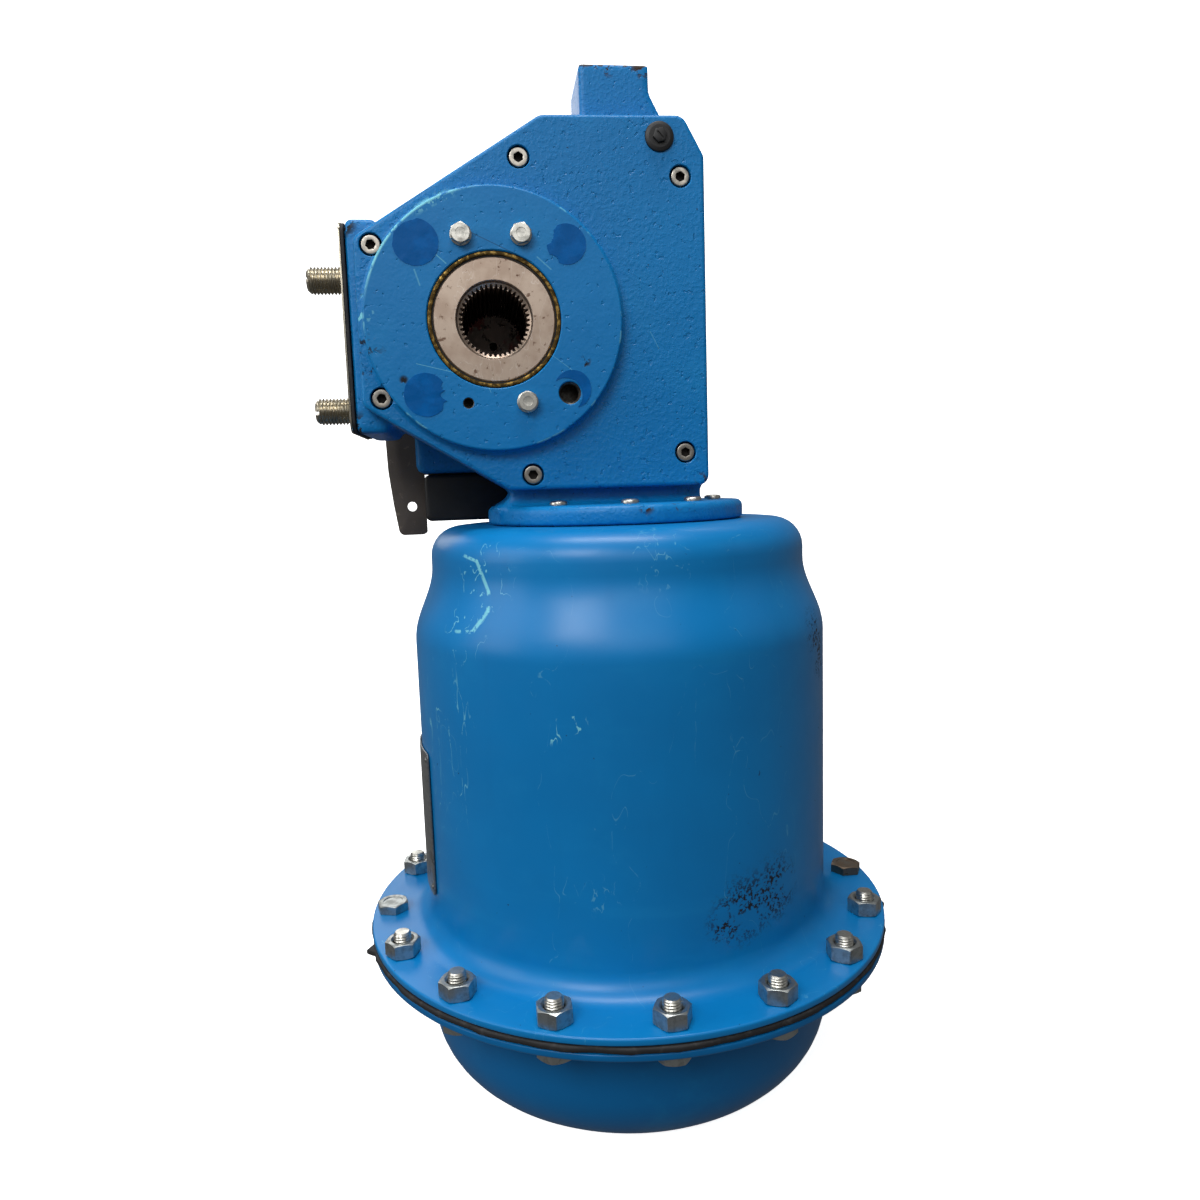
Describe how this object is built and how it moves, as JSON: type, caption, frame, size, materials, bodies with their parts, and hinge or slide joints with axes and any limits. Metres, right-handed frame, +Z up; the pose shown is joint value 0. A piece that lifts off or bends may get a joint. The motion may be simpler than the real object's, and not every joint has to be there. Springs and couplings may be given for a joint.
{
  "type": "spring return quarter turn actuator",
  "caption": "Spring-and-diaphragm quarter-turn actuator: cast lever housing with splined hub and round mounting disc, on a spring barrel with a bolted diaphragm casing.",
  "frame": {"origin": "centre of the flat bottom of the lower casing, on the barrel's axis", "axes": "+Z up along the barrel to the lever housing, -Y out of the splined bore on the valve side, +X to the right seen from the valve side"},
  "size_m": [0.4275, 0.411, 0.743],
  "materials": {
    "cast_blue_paint": "mid blue paint over a rough casting, satin",
    "smooth_blue_paint": "mid blue paint over pressed steel, semi gloss",
    "zinc_fasteners": "dull zinc plated steel",
    "screw_steel": "plated socket head screws",
    "bare_steel": "machined bare steel with light staining",
    "spring_steel": "dark spring steel",
    "bush_brass": "worn brass",
    "black_rubber": "black rubber, matt",
    "black_plastic": "black plastic",
    "dark_paint": "dark grey brown paint, satin",
    "nameplate_metal": "blank grey aluminium plate"
  },
  "bodies": {
    "casing": {"housing": "cast_blue_paint", "cover_plate": "cast_blue_paint", "positioner_bracket": "cast_blue_paint", "barrel": "smooth_blue_paint", "lower_casing": "smooth_blue_paint", "casing_bolt_01": "zinc_fasteners", "casing_bolt_02": "zinc_fasteners", "casing_bolt_03": "zinc_fasteners", "casing_bolt_04": "zinc_fasteners", "casing_bolt_05": "zinc_fasteners", "casing_bolt_06": "zinc_fasteners", "casing_bolt_07": "zinc_fasteners", "casing_bolt_08": "zinc_fasteners", "casing_bolt_09": "zinc_fasteners", "casing_bolt_10": "zinc_fasteners", "casing_bolt_11": "zinc_fasteners", "casing_bolt_12": "zinc_fasteners", "casing_bolt_13": "zinc_fasteners", "casing_bolt_14": "zinc_fasteners", "casing_bolt_15": "zinc_fasteners", "casing_bolt_16": "zinc_fasteners", "pad_bolt_1": "zinc_fasteners", "pad_bolt_2": "zinc_fasteners", "pad_bolt_3": "zinc_fasteners", "neck_screw_1": "zinc_fasteners", "neck_screw_2": "zinc_fasteners", "neck_screw_3": "zinc_fasteners", "neck_screw_4": "zinc_fasteners", "neck_screw_5": "zinc_fasteners", "neck_screw_6": "zinc_fasteners", "neck_screw_7": "zinc_fasteners", "cover_screw_1": "screw_steel", "cover_screw_2": "screw_steel", "cover_screw_3": "screw_steel", "cover_screw_4": "screw_steel", "cover_screw_5": "screw_steel", "cover_screw_6": "screw_steel", "side_plate": "bare_steel", "spring": "spring_steel", "spring_seat": "spring_steel", "front_bushing": "bush_brass", "rear_bushing": "bush_brass", "air_fitting": "bush_brass", "diaphragm": "black_rubber", "side_gasket": "black_rubber", "vent_plug": "black_plastic", "positioner_case": "black_plastic", "positioner_plate": "dark_paint", "nameplate": "nameplate_metal"},
    "lever": {"drive_lever": "bare_steel", "hub_end_plug": "bare_steel", "feedback_spindle": "bare_steel", "clevis_pin": "bare_steel"},
    "link": {"rod_end": "zinc_fasteners", "rod_lock_nut": "zinc_fasteners", "actuator_rod": "bare_steel"},
    "piston": {"diaphragm_plate": "smooth_blue_paint", "clamp_disc": "zinc_fasteners"},
    "stop_upper": {"stop_screw_upper": "zinc_fasteners"},
    "stop_lower": {"stop_screw_lower": "zinc_fasteners"}
  },
  "joints": [
    {"name": "lever_turn", "type": "hinge", "parent": "casing", "child": "lever", "pos_m": [-0.0884, 0, 0.5673], "axis": [0, -1, 0], "range_deg": [0, 90], "stiffness_Nm_per_rad": 30, "springref_deg": -34.38},
    {"name": "link_swing", "type": "hinge", "parent": "lever", "child": "link", "pos_m": [-0.01769, 0, 0.49659], "axis": [0, -1, 0], "range_deg": [-90, 0]},
    {"name": "piston_lift", "type": "slide", "parent": "casing", "child": "piston", "axis": [0, 0, 1], "range_m": [0, 0.1416], "deforming": ["spring"]},
    {"name": "stop_upper_adjust", "type": "slide", "parent": "casing", "child": "stop_upper", "axis": [-1, 0, 0], "range_m": [0, 0.01]},
    {"name": "stop_lower_adjust", "type": "slide", "parent": "casing", "child": "stop_lower", "axis": [-1, 0, 0], "range_m": [0, 0.01]}
  ],
  "couplings": [
    {"joint": "link_swing", "follows": "lever_turn", "ratio": -1},
    {"joint": "piston_lift", "follows": "lever_turn", "m_per_rad": 0.090032}
  ]
}
